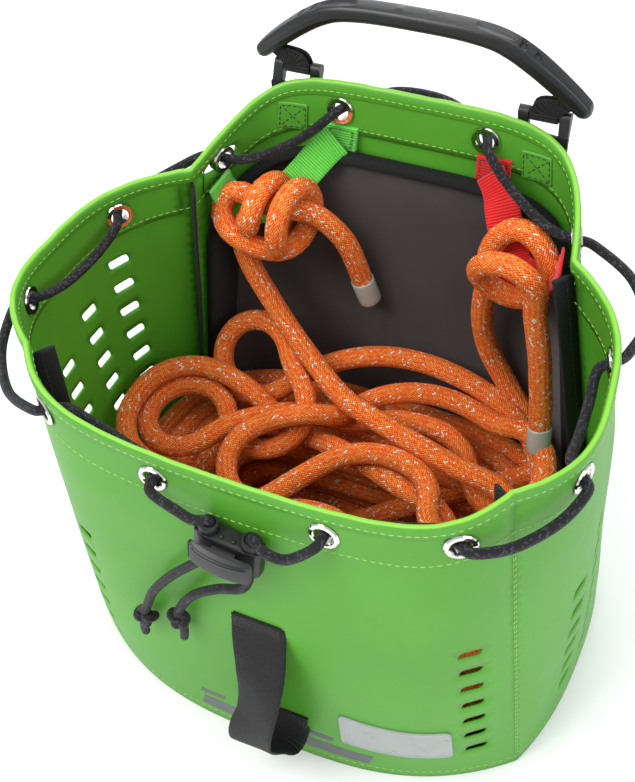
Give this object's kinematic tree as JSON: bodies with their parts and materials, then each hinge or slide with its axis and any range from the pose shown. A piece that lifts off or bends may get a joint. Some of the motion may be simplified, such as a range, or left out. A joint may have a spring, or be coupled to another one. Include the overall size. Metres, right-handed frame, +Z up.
{
  "type": "rope storage bag",
  "caption": "Open-mouthed rope storage bag of coated fabric with a laced mouth, push-button cord lock, swinging carry handle, grab loop, vents and a rope tied to two loops.",
  "frame": {"origin": "middle of the underside of the base", "axes": "+X to the right along the front, +Y from the front to the padded back, +Z up out of the mouth"},
  "size_m": [0.299, 0.2747, 0.3075],
  "materials": {
    "coated_fabric": "satin",
    "edge_binding": "satin",
    "base_board": "matte",
    "black_webbing": "matte",
    "pad_fabric": "matte",
    "nickel": "polished",
    "drawcord": "matte",
    "black_plastic": "satin",
    "grip_plastic": "satin",
    "spring_wire": "polished",
    "clear_film": "gloss",
    "green_webbing": "matte",
    "red_webbing": "matte",
    "rope": "matte",
    "rope_sleeve": "gloss"
  },
  "bodies": {
    "bag": {"front_panel": "coated_fabric", "right_panel": "coated_fabric", "back_panel": "coated_fabric", "left_panel": "coated_fabric", "base_panel": "coated_fabric", "base_board": "base_board", "hem_band": "coated_fabric", "rim_binding": "edge_binding", "corner_strip_front_left": "black_webbing", "corner_strip_front_right": "black_webbing", "corner_strip_back_right": "black_webbing", "corner_strip_back_left": "black_webbing", "back_pad": "pad_fabric", "pad_binding": "black_webbing", "eyelets": "nickel", "eyelet_washers": "nickel", "drawcord": "drawcord", "drawcord_lead_left": "drawcord", "drawcord_lead_right": "drawcord", "drawcord_tail_left": "drawcord", "drawcord_tail_right": "drawcord", "drawcord_knot_left": "drawcord", "drawcord_knot_right": "drawcord", "front_loop": "black_webbing", "front_loop_tab_top": "black_webbing", "front_loop_tab_bottom": "black_webbing", "id_window": "clear_film", "handle_anchor_left": "black_plastic", "handle_anchor_right": "black_plastic", "anchor_patch_left": "coated_fabric", "anchor_patch_right": "coated_fabric", "green_loop": "green_webbing", "green_loop_patch": "green_webbing", "red_loop": "red_webbing", "red_loop_patch": "red_webbing", "rope_pile": "rope", "rope_riser_green": "rope", "rope_knot_green": "rope", "rope_tail_green": "rope", "rope_sleeve_green": "rope_sleeve", "rope_riser_red": "rope", "rope_knot_red": "rope", "rope_tail_red": "rope", "rope_sleeve_red": "rope_sleeve"},
    "handle": {"handle_grip": "grip_plastic", "handle_strap_left": "black_webbing", "handle_strap_right": "black_webbing"},
    "cord_lock": {"cord_lock_housing": "black_plastic", "cord_lock_spring": "spring_wire"},
    "lock_button": {"cord_lock_button": "black_plastic"}
  },
  "joints": [
    {"name": "handle_swing", "type": "hinge", "parent": "bag", "child": "handle", "pos_m": [0, 0.1275, 0.263], "axis": [1, 0, 0], "range_deg": [-120, 60]},
    {"name": "cord_lock_slide", "type": "slide", "parent": "bag", "child": "cord_lock", "axis": [0.1219, 0.1072, 0.9867], "range_m": [-0.03, 0.01], "deforming": ["drawcord_lead_left", "drawcord_lead_right", "drawcord_tail_left", "drawcord_tail_right"]},
    {"name": "lock_button_press", "type": "slide", "parent": "cord_lock", "child": "lock_button", "axis": [0, 0.9942, -0.108], "range_m": [0, 0.0025], "stiffness_N_per_m": 1200, "springref_m": -0.002, "deforming": ["cord_lock_spring"]}
  ]
}
